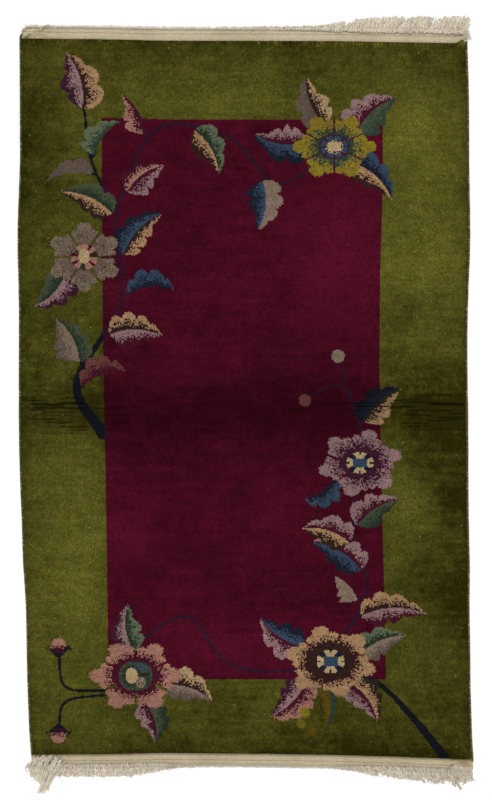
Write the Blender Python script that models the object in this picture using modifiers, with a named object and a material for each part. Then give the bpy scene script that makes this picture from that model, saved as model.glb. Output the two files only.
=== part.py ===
"""Hand-knotted wool rug, laid out flat: a thick cut pile on a cotton ground.

The long sides are overcast with a wool cord, and each end finishes in a woven cotton web and a fringe
of warp ends. Metres, +Z up. The origin is under the middle of the rug, +Y towards its head end.
"""

import math

import bpy
import numpy as np

# Driving sizes
PILE_THICKNESS = 0.013     # cotton ground and cut pile together
PILE_ROUNDING = 0.0035     # the pile spreads and rounds over at its edges
WEB_DEPTH = 0.0325         # plain woven cotton past the last row of knots
WEB_THICKNESS = 0.0026
CORD_DIAMETER = 0.0055     # overcast side cord
FRINGE_THICKNESS = 0.002
FRINGE_HEADER = 0.003      # the strip that joins the fringe's teeth along the web
FRINGE_PITCH = 0.0115      # one tooth stands for a small bundle of warp ends
TOOTH_ROOT = 0.0080        # width of a tooth where it leaves the header
TOOTH_TIP = 0.0048
SHORTEST_TOOTH = 0.0042    # worn ends still show as fluff past the header
GAP = 0.0003               # clearance between touching pieces
ROW_SPACING = 0.065        # spacing of the surface's rows along the rug
ROW_CLEARANCE = 0.002      # rows closer than this are left out
CORNER_SHARES = (0.25, 0.6, 1)                   # where rows cross a round corner
CREASE_SHARES = (-1, -0.6, -0.3, 0, 0.3, 0.6, 1)   # where rows cross a crease
WEB_SHARES = (0, 0.35, 0.6, 0.8, 0.93, 1)        # where rows cross an end web
COLUMNS = 18               # spaces across the rug

# The outer sides, cords included: distance along the rug, and both edges across it
SIDE_COLUMNS = ("along", "left", "right")
SIDE_TABLE = np.array([
    (-1.000, -0.5820, 0.6218),
    (-0.900, -0.5900, 0.6150),
    (-0.762, -0.5955, 0.6105),
    (-0.653, -0.5975, 0.6098),
    (-0.544, -0.5995, 0.6075),
    (-0.435, -0.6075, 0.6090),
    (-0.326, -0.6105, 0.6062),
    (-0.218, -0.6155, 0.6048),
    (-0.109, -0.6182, 0.6048),
    (0.109, -0.6190, 0.6022),
    (0.218, -0.6184, 0.6022),
    (0.326, -0.6195, 0.6050),
    (0.435, -0.6232, 0.6100),
    (0.544, -0.6200, 0.6092),
    (0.653, -0.6155, 0.6072),
    (0.762, -0.6160, 0.6070),
    (0.870, -0.6164, 0.6060),
    (1.000, -0.6175, 0.6020),
])

# The first and last rows of knots: distance across the rug, and both ends along it
END_COLUMNS = ("across", "foot", "head")
END_TABLE = np.array([
    (-0.62, -0.9545, 0.9955),
    (-0.37, -0.9530, 0.9925),
    (-0.23, -0.9493, 0.9890),
    (0.05, -0.9520, 0.9885),
    (0.23, -0.9547, 0.9880),
    (0.42, -0.9600, 0.9846),
    (0.62, -0.9680, 0.9815),
])

MEAN_FOOT = END_TABLE[:, 1].mean()
LENGTH = END_TABLE[:, 2].mean() - MEAN_FOOT

# Creases left by folding the rug: distance along, rise of the lifted ridge, and its half width
FOLD_COLUMNS = ("along", "rise", "half_width")
FOLD_TABLE = np.array([
    (-0.022, 0.0035, 0.060),
    (-0.335, 0.0014, 0.040),
])

# Plan radius of the corners of the pile and of the webs
CORNER_RADII = {"foot_left": 0.010, "foot_right": 0.008, "head_left": 0.022, "head_right": 0.008}

# Fringe: distance across, how far it reaches past the web, and its lean across for each metre of reach
FRINGE_COLUMNS = ("across", "reach", "lean")
HEAD_FRINGE_TABLE = np.array([
    (-0.610, 0.0040, 0.00),
    (-0.500, 0.0050, 0.00),
    (-0.300, 0.0045, 0.10),
    (-0.060, 0.0045, 0.10),
    (0.060, 0.0100, 0.20),
    (0.130, 0.0125, 0.25),
    (0.240, 0.0180, 0.30),
    (0.320, 0.0300, 0.15),
    (0.408, 0.0330, 0.00),
    (0.426, 0.0150, 0.00),
    (0.444, 0.0350, 0.10),
    (0.500, 0.0380, 0.20),
    (0.600, 0.0390, 0.35),
])
FOOT_FRINGE_TABLE = np.array([
    (-0.590, 0.0200, 0.20),
    (-0.575, 0.0620, 0.25),
    (-0.548, 0.0660, 0.30),
    (-0.530, 0.0420, 0.20),
    (-0.480, 0.0260, 0.10),
    (-0.340, 0.0270, 0.05),
    (-0.260, 0.0160, 0.10),
    (-0.150, 0.0050, 0.20),
    (0.060, 0.0040, 0.20),
    (0.240, 0.0060, 0.20),
    (0.300, 0.0160, 0.30),
    (0.345, 0.0240, 0.30),
    (0.450, 0.0250, 0.30),
    (0.520, 0.0380, 0.25),
    (0.600, 0.0230, 0.30),
])


def read(table, columns, name, where):
    """The named column of a table, read at a place along its first column."""
    return np.interp(where, table[:, 0], table[:, columns.index(name)])


def fold_rise(along):
    """Raised cosine ridge over each crease: rise times half of one plus the cosine of the distance."""
    rise = np.zeros_like(along)
    for crest, height, half_width in FOLD_TABLE:
        distance = np.clip(np.abs(along - crest) / half_width, 0, 1)
        rise += height * (1 + np.cos(math.pi * distance)) / 2
    return rise


def rough_along(station):
    """Distance along the rug of a station from 0 to 1, before the ends' slight slope."""
    return MEAN_FOOT + LENGTH * station


def row_stations():
    """Places between the rug's ends, 0 to 1: even rows, rows round the corners and on the creases' slopes."""
    rows = list(np.linspace(0, 1, round(LENGTH / ROW_SPACING) + 1))
    for share in CORNER_SHARES:
        rows.append(share * max(CORNER_RADII["foot_left"], CORNER_RADII["foot_right"]) / LENGTH)
        rows.append(1 - share * max(CORNER_RADII["head_left"], CORNER_RADII["head_right"]) / LENGTH)
    for crest, _, half_width in FOLD_TABLE:
        for share in CREASE_SHARES:
            rows.append((crest + share * half_width - MEAN_FOOT) / LENGTH)
    rows = np.unique(np.round(rows, 6))
    keep = np.append(np.diff(rows) * LENGTH > ROW_CLEARANCE, True)
    return rows[keep]


def corner_inset(distance, radius):
    """How far a round corner draws a side in, at a distance from the end: a quarter circle."""
    reach = np.clip(radius - distance, 0, radius)
    return radius - np.sqrt(radius ** 2 - reach ** 2)


def sides(along, inset, to_foot, to_head):
    """Left and right edges along the rug, drawn in by an inset and, near either end, by round corners."""
    left = read(SIDE_TABLE, SIDE_COLUMNS, "left", along) + inset
    right = read(SIDE_TABLE, SIDE_COLUMNS, "right", along) - inset
    left += corner_inset(to_foot, CORNER_RADII["foot_left"])
    left += corner_inset(to_head, CORNER_RADII["head_left"])
    right -= corner_inset(to_foot, CORNER_RADII["foot_right"])
    right -= corner_inset(to_head, CORNER_RADII["head_right"])
    return left, right


def collection_for(name):
    """A new collection in the scene."""
    collection = bpy.data.collections.new(name)
    bpy.context.scene.collection.children.link(collection)
    return collection


def finish_for(name, colour, roughness):
    """A Principled material without metal."""
    material = bpy.data.materials.new(name)
    material.use_nodes = True
    shader = material.node_tree.nodes["Principled BSDF"]
    shader.inputs["Base Color"].default_value = (*colour, 1)
    shader.inputs["Roughness"].default_value = roughness
    shader.inputs["Metallic"].default_value = 0
    return material


def grid_mesh(name, points):
    """An open surface of quads through an array of points, rows by columns by three."""
    rows, columns = points.shape[:2]
    index = np.arange(rows * columns).reshape(rows, columns)
    quads = np.stack([index[:-1, :-1], index[:-1, 1:], index[1:, 1:], index[1:, :-1]], axis=-1)
    mesh = bpy.data.meshes.new(name)
    mesh.from_pydata(points.reshape(-1, 3).tolist(), [], quads.reshape(-1, 4).tolist())
    mesh.update()
    return mesh


def add_object(name, data, material):
    """An object in the rug's collection, under the rug's empty, with its finish."""
    thing = bpy.data.objects.new(name, data)
    data.materials.append(material)
    rug_collection.objects.link(thing)
    thing.parent = rug
    return thing


def add_thickness(thing, thickness):
    """Solidify upwards from a surface that faces up and is the underside."""
    solidify = thing.modifiers.new("thickness", "SOLIDIFY")
    solidify.thickness = thickness
    solidify.offset = 1


def place_along(across, station):
    """Distance along the rug of a place across it, between the first and the last row of knots."""
    foot = read(END_TABLE, END_COLUMNS, "foot", across)
    head = read(END_TABLE, END_COLUMNS, "head", across)
    return foot * (1 - station) + head * station


def make_pile():
    """The knotted rug: the outline on a grid, lifted over the creases, given its thickness and rounded."""
    station = row_stations()[:, None]
    share = np.linspace(0, 1, COLUMNS + 1)[None, :]
    left, right = sides(rough_along(station), CORD_DIAMETER + GAP, LENGTH * station, LENGTH * (1 - station))
    across = left * (1 - share) + right * share
    along = place_along(across, station)
    points = np.stack([across, along, fold_rise(along)], axis=-1)
    pile = add_object("pile_rug", grid_mesh("pile_rug", points), wool)
    add_thickness(pile, PILE_THICKNESS)
    rounding = pile.modifiers.new("rounded_edges", "BEVEL")
    rounding.width = PILE_ROUNDING
    rounding.segments = 2
    rounding.limit_method = "ANGLE"
    rounding.angle_limit = math.radians(50)
    return pile


def make_side_cord(side):
    """The overcast cord along one long side: a round cord on the rug's edge, lifted over the creases."""
    station = row_stations()
    from_foot, from_head = LENGTH * station, LENGTH * (1 - station)
    clear = (from_foot >= CORNER_RADII["foot_" + side]) & (from_head >= CORNER_RADII["head_" + side])
    station = station[clear]
    inward = 1 if side == "left" else -1
    across = read(SIDE_TABLE, SIDE_COLUMNS, side, rough_along(station)) + inward * CORD_DIAMETER / 2
    along = place_along(across, station)
    height = fold_rise(along) + CORD_DIAMETER / 2
    curve = bpy.data.curves.new("side_binding_" + side, "CURVE")
    curve.dimensions = "3D"
    spline = curve.splines.new("POLY")
    spline.points.add(len(along) - 1)
    for point, place in zip(spline.points, np.stack([across, along, height], axis=-1)):
        point.co = (*place, 1)
    curve.bevel_depth = CORD_DIAMETER / 2
    curve.bevel_resolution = 2
    curve.use_fill_caps = True
    return add_object("side_binding_" + side, curve, overcast_wool)


def web_edge(end, across):
    """Where the web's outer edge runs, past the last knots at the foot or the head."""
    outward = 1 if end == "head" else -1
    return read(END_TABLE, END_COLUMNS, end, across) + outward * WEB_DEPTH


def make_web(end):
    """The woven cotton web past the last row of knots at one end."""
    outward = 1 if end == "head" else -1
    share = np.linspace(0, 1, 2 * COLUMNS + 1)[None, :]
    depth = WEB_DEPTH * np.array(WEB_SHARES)[:, None]
    to_edge = WEB_DEPTH - depth
    inside = np.full_like(depth, WEB_DEPTH)
    rough_place = END_TABLE[:, END_COLUMNS.index(end)].mean() + outward * depth
    if end == "head":
        left, right = sides(rough_place, 0, inside, to_edge)
    else:
        left, right = sides(rough_place, 0, to_edge, inside)
    across = left * (1 - share) + right * share
    along = read(END_TABLE, END_COLUMNS, end, across) + outward * np.maximum(depth, GAP)
    points = np.stack([across, along, np.zeros_like(along)], axis=-1)
    if end == "foot":
        points = points[::-1]
    web = add_object("end_web_" + end, grid_mesh("end_web_" + end, points), cotton)
    add_thickness(web, WEB_THICKNESS)
    return web


def make_fringe(end, table):
    """A flat comb: a header along the web and a tooth for each small bundle of warp ends."""
    outward = 1 if end == "head" else -1
    start, stop = table[0, 0], table[-1, 0]
    count = int((stop - start) / FRINGE_PITCH)
    back = np.linspace(start, stop, 2 * COLUMNS)[::-1]
    back_edge = np.stack([back, web_edge(end, back) + outward * GAP], axis=-1)
    teeth = []
    for root in start + FRINGE_PITCH * (np.arange(count) + 0.5):
        reach = read(table, FRINGE_COLUMNS, "reach", root)
        tip = root + reach * read(table, FRINGE_COLUMNS, "lean", root)
        base = web_edge(end, root) + outward * (GAP + FRINGE_HEADER)
        far = web_edge(end, root) + outward * (GAP + max(reach, SHORTEST_TOOTH))
        teeth += [(root - TOOTH_ROOT / 2, base), (tip - TOOTH_TIP / 2, far)]
        teeth += [(tip + TOOTH_TIP / 2, far), (root + TOOTH_ROOT / 2, base)]
    outline = np.concatenate([np.array(teeth), back_edge])
    curve = bpy.data.curves.new("fringe_" + end, "CURVE")
    curve.dimensions = "2D"
    spline = curve.splines.new("POLY")
    spline.points.add(len(outline) - 1)
    for point, place in zip(spline.points, outline):
        point.co = (*place, 0, 1)
    spline.use_cyclic_u = True
    curve.fill_mode = "BOTH"
    curve.extrude = FRINGE_THICKNESS / 2
    fringe = add_object("fringe_" + end, curve, cotton_cord)
    fringe.location.z = FRINGE_THICKNESS / 2
    return fringe


for leftover in list(bpy.data.objects):
    bpy.data.objects.remove(leftover)

rug_collection = collection_for("rug")
rug = bpy.data.objects.new("rug", None)
rug_collection.objects.link(rug)

wool = finish_for("dyed_wool_pile", (0.13, 0.10, 0.03), 0.95)
overcast_wool = finish_for("overcast_wool", (0.10, 0.08, 0.05), 0.95)
cotton = finish_for("web_cotton", (0.56, 0.48, 0.35), 0.9)
cotton_cord = finish_for("fringe_cotton", (0.62, 0.53, 0.46), 0.9)

make_pile()
for side_name in ("left", "right"):
    make_side_cord(side_name)
for end_name, fringe_table in (("head", HEAD_FRINGE_TABLE), ("foot", FOOT_FRINGE_TABLE)):
    make_web(end_name)
    make_fringe(end_name, fringe_table)
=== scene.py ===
# Looks of a hand-knotted wool rug: a plain field and a wide plain border, with sprays of leaves and flowers
# that cross from one to the other, cotton webs and fringes at its ends and overcast cords along its sides.

import math
from collections import namedtuple

import bpy
import numpy as np
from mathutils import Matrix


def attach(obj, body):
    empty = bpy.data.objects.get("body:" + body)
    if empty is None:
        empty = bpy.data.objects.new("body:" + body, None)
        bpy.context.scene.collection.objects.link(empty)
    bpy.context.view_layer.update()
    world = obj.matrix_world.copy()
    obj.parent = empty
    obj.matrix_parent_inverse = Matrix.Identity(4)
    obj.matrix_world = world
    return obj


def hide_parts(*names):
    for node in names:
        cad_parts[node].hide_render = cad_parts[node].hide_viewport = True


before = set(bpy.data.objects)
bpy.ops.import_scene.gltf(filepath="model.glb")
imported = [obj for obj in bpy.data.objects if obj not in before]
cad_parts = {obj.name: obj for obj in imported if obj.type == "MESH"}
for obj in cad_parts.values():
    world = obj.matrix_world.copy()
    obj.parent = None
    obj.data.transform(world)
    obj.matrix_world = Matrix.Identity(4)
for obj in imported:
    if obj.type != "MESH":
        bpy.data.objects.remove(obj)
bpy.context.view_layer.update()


# --------------------------------------------------------------------------------------------------------
# The outline. The rug is knotted on cotton warps, and each weft pulls its sides in or lets them out
# a little. The overcast cords give the sides, and the end webs give the first and the last row of knots.

touching = 0.0003        # space between pieces that meet
ring_spacing = 0.0008    # rings of a cord are further apart than this along the rug
bin_width = 0.05         # each strip this wide across a web holds some of its inner corners
corner_radii = {"foot_left": 0.004, "foot_right": 0.006, "head_left": 0.004, "head_right": 0.009}
web_radii = {"foot_left": 0.010, "foot_right": 0.012, "head_left": 0.016, "head_right": 0.006}

Crease = namedtuple("Crease", "along rise half_width")
creases = [Crease(-0.022, 0.0035, 0.060), Crease(-0.335, 0.0014, 0.040)]


def corners_of(node):
    """The corners of a CAD node, as three rows: x, y and z."""
    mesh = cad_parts[node].data
    places = np.empty(len(mesh.vertices) * 3)
    mesh.vertices.foreach_get("co", places)
    return places.reshape(-1, 3).T


def cord_rings(side):
    """A cord's rings from foot to head: distance along, and the least and greatest distance across.
    The corners are sorted along the rug, and a step longer than ring_spacing starts a new ring."""
    x, y, _ = corners_of("side_binding_" + side)
    order = np.argsort(y)
    x, y = x[order], y[order]
    starts = np.flatnonzero(np.diff(y, prepend=-9) > ring_spacing)
    count = np.diff(starts, append=len(y))
    return np.add.reduceat(y, starts) / count, np.minimum.reduceat(x, starts), np.maximum.reduceat(x, starts)


def carried_on(along, across):
    """A side's line carried on in its own direction to a metre from the middle, both ways."""
    slopes = np.diff(across) / np.diff(along)
    first = across[0] + slopes[0] * (-1 - along[0])
    last = across[-1] + slopes[-1] * (1 - along[-1])
    return np.concatenate([[-1], along, [1]]), np.concatenate([[first], across, [last]])


def knot_line(end):
    """Where the last knots at one end meet its web: the web's innermost corner in each strip across. A strip
    with corners on the outer side only lies far from the middle value, and is left out."""
    x, y, _ = corners_of("end_web_" + end)
    strip = np.floor((x - x.min()) / bin_width)
    order = np.lexsort((y if end == "head" else -y, strip))
    first = order[np.unique(strip[order], return_index=True)[1]]
    first = first[np.abs(y[first] - np.median(y[first])) < 0.025]
    return x[first], y[first]


rings = {side: cord_rings(side) for side in ("left", "right")}
outer_lines = {"left": carried_on(rings["left"][0], rings["left"][1]),
               "right": carried_on(rings["right"][0], rings["right"][2])}
inner_lines = {"left": carried_on(rings["left"][0], rings["left"][2] + touching),
               "right": carried_on(rings["right"][0], rings["right"][1] - touching)}
web_lines = {end: knot_line(end) for end in ("foot", "head")}
# The head's right corner of the pile curls up over the web
curl_x = np.append(web_lines["head"][0][:-1], [0.570, 0.578, 0.586, 0.6024])
curl_rise = np.append(np.zeros(len(curl_x) - 4), [0, 0.0030, 0.0095, 0.0105])
knot_lines = {"foot": web_lines["foot"], "head": (curl_x, np.interp(curl_x, *web_lines["head"]) + curl_rise)}


def lift(along):
    """Rise of the underside over the creases: for each, its rise times a raised cosine over its width."""
    rise = np.zeros_like(along)
    for crease in creases:
        distance = np.clip(np.abs(along - crease.along) / crease.half_width, 0, 1)
        rise += crease.rise * (1 + np.cos(math.pi * distance)) / 2
    return rise


def mottle(x, y, size, seed):
    """Soft random patches from -1 to 1: random values on a square lattice of that size, joined by
    smooth steps, three times the square less twice the cube of the share of the way across a cell."""
    lattice = np.random.default_rng(seed).uniform(-1, 1, (256, 256))
    u, v = x / size + 97.3, y / size + 61.7
    i, j = np.floor(u).astype(int), np.floor(v).astype(int)
    u, v = u - i, v - j
    u, v = u * u * (3 - 2 * u), v * v * (3 - 2 * v)
    i, j, right, up = i % 256, j % 256, (i + 1) % 256, (j + 1) % 256
    low = lattice[j, i] * (1 - u) + lattice[j, right] * u
    high = lattice[up, i] * (1 - u) + lattice[up, right] * u
    return low * (1 - v) + high * v


# --------------------------------------------------------------------------------------------------------
# The cartoon. The knotter works from a drawing on squared paper. Here it is drawn with leaves, flowers,
# buds and branches, in centimetres across and along the rug, in named dyed yarns.

knot_square = 0.27       # one square of the paper, in centimetres
yarn_card = {            # red, green and blue of each dyed yarn on an eight-bit scale
    "olive": (72, 68, 20), "wine": (64, 15, 30), "navy": (19, 20, 26), "dusk": (44, 18, 36),
    "blue": (48, 64, 82), "ink": (24, 28, 40), "teal": (45, 58, 46), "green": (38, 48, 35),
    "pale green": (86, 95, 72), "sea": (62, 70, 52), "purple": (56, 24, 40), "plum": (64, 18, 34),
    "lilac": (131, 103, 103), "taupe": (118, 101, 84), "mauve grey": (90, 76, 67), "stone": (122, 104, 90),
    "tan": (152, 119, 86), "sand": (158, 132, 96), "brown": (46, 28, 25), "bark": (42, 34, 24),
    "pink": (146, 103, 88), "ochre": (84, 68, 14), "yellow": (120, 104, 32), "cream": (166, 143, 106),
    "rose": (98, 56, 54), "straw": (100, 88, 22),
}
yarn_names = list(yarn_card)


def linear(levels):
    """Linear light from eight-bit display levels: the standard curve, a power of 2.4 with a straight toe."""
    share = np.asarray(levels, dtype=float) / 255
    return np.where(share <= 0.04045, share / 12.92, ((share + 0.055) / 1.055) ** 2.4)


# Edges of the field: places along or across the rug, and the edge there
field_left = np.array([(-75, -37.4), (-42, -37.8), (-15, -38.3), (16, -38.9), (50, -39.2), (78, -39.2)])
field_right = np.array([(-75, 38.1), (-50, 37.6), (-24, 36.9), (10, 36.3), (35, 36.5), (60, 37.2),
                        (78, 37.2)])
field_foot = np.array([(-40, -74.9), (40, -74.9)])
field_head = np.array([(-40, 77.9), (-20, 77.4), (40, 77.4)])

# Half a leaf: its width, lobes, yarns by the rib and at the rim, the share of the way where it is widest and
# where it ends, and how deep its notches are
Half = namedtuple("Half", "width lobes near rim widest ends cut", defaults=(0.30, 1.0, 0.45))
Leaf = namedtuple("Leaf", "base bend tip left right")

# Stems: widths from start to end, then the few points that the knotter's curve passes
Branch = namedtuple("Branch", "widths points")
stems = {
    "upper": Branch((3.2, 1.6, 1.0, 0.8, 0.8, 0.8, 0.7, 0.6),
                    [(-39, -8), (-46, 6), (-34, 28), (-35, 52), (-24, 75), (-4, 72), (8, 60), (22, 67)]),
    "upper_left": Branch((0.8, 0.6), [(-35, 52), (-42, 66), (-44, 80)]),
    "lower": Branch((2.4, 1.3, 1.0), [(54, -96), (46, -86), (36, -76), (24, -70)]),
    "lower_right": Branch((0.9, 0.8, 0.6), [(25, -66), (33, -50), (29, -34), (32, -12), (25, 12)]),
    "lower_left": Branch((0.9, 0.8, 0.7), [(18, -73), (-4, -71), (-16, -58), (-32, -66)]),
    "buds_up": Branch((0.6, 0.6), [(-38, -78), (-49, -77), (-51, -68)]),
    "buds_down": Branch((0.6, 0.6), [(-38, -79), (-49, -81), (-51, -88)]),
    "side_ball": Branch((0.6, 0.6), [(29, 3), (23, 5), (16, 1)]),
}

# Leaves on stems: the stem, the share of the way along it, degrees off its direction, length and both halves
Sprig = namedtuple("Sprig", "stem share turn length left right")
sprigs = [
    Sprig("upper", 0.10, -75, 12, Half(5.0, 4, "plum", "rose", 0.45), None),
    Sprig("upper", 0.15, 60, 13, Half(6.5, 3, "taupe", "mauve grey"), Half(4.0, 4, "green", "sea")),
    Sprig("upper", 0.22, -60, 14, Half(4.6, 4, "brown", "tan"), Half(5.0, 3, "lilac", "plum")),
    Sprig("upper", 0.30, -80, 12, Half(4.8, 4, "ink", "blue", 0.45), None),
    Sprig("upper", 0.37, -55, 15, Half(4.6, 3, "blue", "ink"), Half(4.2, 4, "brown", "tan")),
    Sprig("upper", 0.45, 80, 15, Half(4.2, 3, "tan", "brown"), Half(4.2, 3, "green", "sea")),
    Sprig("upper", 0.49, -40, 12, Half(3.8, 3, "pink", "plum"), Half(5.2, 3, "plum", "lilac")),
    Sprig("upper", 0.60, 70, 12, Half(4.8, 3, "plum", "pink"), None),
    Sprig("upper", 0.70, -50, 13, Half(4.4, 3, "green", "pale green"), Half(4.6, 3, "tan", "brown")),
    Sprig("upper", 0.86, -50, 13, Half(4.6, 4, "stone", "stone"), Half(5.3, 3, "blue", "ink")),
    Sprig("upper_left", 0.40, 75, 12, None, Half(4.2, 3, "mauve grey", "mauve grey")),
    Sprig("upper_left", 0.55, -55, 11, Half(5.0, 4, "teal", "pale green"), None),
    Sprig("upper_left", 0.97, 10, 15, Half(5.4, 3, "lilac", "purple", 0.4), Half(5.4, 3, "brown", "tan")),
    Sprig("lower_right", 0.12, -60, 17, Half(4.3, 4, "brown", "tan"), Half(4.5, 3, "lilac", "plum")),
    Sprig("lower_right", 0.16, 70, 9, Half(4.7, 3, "stone", "stone"), None),
    Sprig("lower_right", 0.28, 45, 15, Half(5.0, 4, "blue", "ink"), Half(4.8, 5, "plum", "lilac")),
    Sprig("lower_right", 0.38, 60, 13, Half(4.4, 3, "tan", "bark"), Half(4.8, 3, "plum", "lilac")),
    Sprig("lower_right", 0.43, -60, 13, Half(4.5, 3, "plum", "lilac"), Half(4.0, 2, "sea", "green")),
    Sprig("lower_right", 0.78, -65, 13, Half(4.2, 3, "ink", "navy"), Half(5.0, 3, "bark", "tan")),
]

# Leaves behind flowers: which flower, the direction that the leaf takes, its length and both halves
Sepal = namedtuple("Sepal", "flower direction length left right")
sepals = [
    Sepal(0, 40, 14, Half(6.2, 4, "plum", "lilac"), Half(5.6, 3, "sea", "teal")),
    Sepal(0, -45, 14, Half(4.4, 3, "ink", "blue"), Half(4.6, 3, "tan", "brown")),
    Sepal(0, 110, 14, Half(4.4, 3, "mauve grey", "mauve grey"), Half(5.0, 3, "brown", "sand")),
    Sepal(0, 170, 14, Half(5.2, 3, "blue", "ink"), Half(5.0, 4, "plum", "lilac")),
    Sepal(1, 225, 12, Half(4.8, 3, "lilac", "purple"), Half(4.4, 2, "green", "sea")),
    Sepal(2, 215, 10, Half(4.8, 4, "ink", "blue", 0.5), None),
    Sepal(3, 20, 13, Half(4.0, 3, "green", "pale green"), Half(4.4, 3, "stone", "mauve grey")),
    Sepal(3, 145, 14, Half(5.2, 4, "plum", "lilac"), Half(5.0, 3, "blue", "ink")),
    Sepal(3, -135, 14, Half(5.2, 4, "plum", "pink", 0.42), Half(5.0, 3, "lilac", "purple")),
    Sepal(3, -95, 12, Half(1.6, 1, "teal", "teal"), Half(2.2, 3, "ochre", "ochre")),
    Sepal(3, -55, 13, Half(5.0, 4, "tan", "bark"), Half(4.6, 3, "plum", "lilac")),
    Sepal(4, 95, 13, Half(4.2, 3, "lilac", "purple"), Half(4.5, 3, "green", "pale green")),
    Sepal(4, -75, 12, Half(4.6, 4, "sea", "green"), Half(4.4, 3, "plum", "lilac")),
    Sepal(4, -20, 13, Half(5.0, 4, "brown", "sand"), Half(4.2, 3, "stone", "mauve grey")),
]

# Flowers: middle, reach of a petal across and along, the direction of the first of six even petals,
# where the dark ring starts to break up and where it ends, the yarns of petals and ring, the yarn of the
# lines that part the petals or none for an open gap, and the kind and half size of the eye
Flower = namedtuple("Flower", "middle reach first_petal breaks ends petal_yarn ring_yarn line_yarn "
                              "eye eye_size")
petal_step = 60
flowers = [
    Flower((24, 70), (11.5, 9.2), 0, 0.40, 0.74, "yellow", "teal", "purple", "ringed", (4.0, 3.2)),
    Flower((-44, 40), (10.4, 9.6), 30, 0.30, 1.20, "taupe", "mauve grey", None, "crowned", (3.5, 3.3)),
    Flower((31, -16), (11.6, 9.4), 15, 0.42, 0.84, "lilac", "purple", "wine", "crossed", (3.7, 2.9)),
    Flower((23, -70), (12.8, 9.9), 45, 0.50, 0.76, "tan", "brown", "wine", "crossed", (3.8, 3.2)),
    Flower((-30, -74), (12.8, 9.9), 0, 0.48, 0.73, "pink", "plum", None, "pooled", (4.4, 3.9)),
]

# Small discs of plain yarn: middle, radius and yarn
Disc = namedtuple("Disc", "middle radius yarn")
discs = [
    Disc((25, 13), 1.8, "stone"), Disc((16, 1), 1.7, "rose"), Disc((16, -84), 1.4, "yellow"),
    Disc((15, -87), 1.3, "straw"), Disc((18, -89), 1.2, "ochre"),
]

# Buds: the place where stem and calyx meet, and which way along the rug the bud opens
Bud = namedtuple("Bud", "foot opening")
buds = [Bud((-51, -69), 1), Bud((-51, -87), -1)]


class Cartoon:
    """The drawing at a set of places: the yarn of each and the motif that it belongs to."""

    def __init__(self, across, along):
        """Field and border come first: a place is in the field where it is inside all four of its edges."""
        self.across, self.along = across.ravel() * 100, along.ravel() * 100
        x, y = self.across, self.along
        inside = (x > np.interp(y, *field_left.T)) & (x < np.interp(y, *field_right.T))
        self.in_field = inside & (y > np.interp(x, *field_foot.T)) & (y < np.interp(x, *field_head.T))
        self.yarn = np.where(self.in_field, yarn_names.index("wine"), yarn_names.index("olive"))
        self.motif = self.in_field.astype(int)
        square = np.random.default_rng(41).random((2, 600, 400))
        row, column = np.floor(y / knot_square).astype(int), np.floor(x / knot_square).astype(int)
        self.chance, self.fray = square[:, row % 600, column % 400]

    def near(self, points, reach):
        """Which places lie in the box round some points, widened by a reach."""
        points = np.asarray(points)
        low, high = points.min(0) - reach, points.max(0) + reach
        x, y = self.across, self.along
        return np.flatnonzero((x > low[0]) & (x < high[0]) & (y > low[1]) & (y < high[1]))

    def lay(self, where, yarn):
        """One yarn in the given places of the newest motif."""
        self.yarn[where] = yarn_names.index(yarn)
        self.motif[where] = self.newest

    def start_motif(self):
        """Gives the next motif its number."""
        self.newest = self.motif.max() + 1


def curved_through(points, step=0.15):
    """Points close together on a smooth curve through the given ones: on each span, the cubic whose ends
    have the slopes of the chords between the neighbours (Catmull-Rom)."""
    points = np.asarray(points, dtype=float)
    before = np.concatenate([[2 * points[0] - points[1]], points, [2 * points[-1] - points[-2]]])
    runs = []
    for p, q, r, s in zip(before[:-3], before[1:-2], before[2:-1], before[3:]):
        t = np.arange(0, 1, step / max(np.hypot(*(r - q)), step))[:, None]
        bow = 2 * p - 5 * q + 4 * r - s
        twist = 3 * (q - r) + s - p
        runs.append(q + (r - p) * t / 2 + bow * t ** 2 / 2 + twist * t ** 3 / 2)
    return np.concatenate(runs + [points[-1:]])


stalk = 2                # centimetres from a stem to its leaf
curl = 0.22              # how far a leaf bows off its own line, as a share of its length


def grown_leaf(base, heading, bow, length, left, right):
    """A leaf from its base along a heading, with its bend off the middle by the bow times its length."""
    way = np.array([math.cos(heading), math.sin(heading)])
    bend = base + way * length / 2 + bow * length * np.array([-way[1], way[0]])
    return Leaf(base, bend, base + way * length, left, right)


def leaf_on_stem(sprig):
    """The stalk and the leaf of a sprig: both leave the stem's curve at a turn off its direction, and the
    leaf bows back towards it."""
    line = curved_through(stems[sprig.stem].points)
    place = min(int(sprig.share * (len(line) - 1)), len(line) - 2)
    forward = line[place + 1] - line[place - 1]
    heading = math.atan2(forward[1], forward[0]) + math.radians(sprig.turn)
    base = line[place] + stalk * np.array([math.cos(heading), math.sin(heading)])
    bow = -math.copysign(curl, sprig.turn)
    return Branch((0.6, 0.6), [line[place], base]), grown_leaf(base, heading, bow, *sprig[3:])


def leaf_behind_flower(sepal):
    """A leaf that starts under the rim of its flower and bows to one side."""
    flower = flowers[sepal.flower]
    heading = math.radians(sepal.direction)
    base = flower.middle + 0.72 * np.array(flower.reach) * (math.cos(heading), math.sin(heading))
    return grown_leaf(base, heading, curl, *sepal[2:])


stalks, stem_leaves = zip(*[leaf_on_stem(sprig) for sprig in sprigs])
branches = [*stems.values(), *stalks]
leaves = [*stem_leaves, *[leaf_behind_flower(sepal) for sepal in sepals]]


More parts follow.
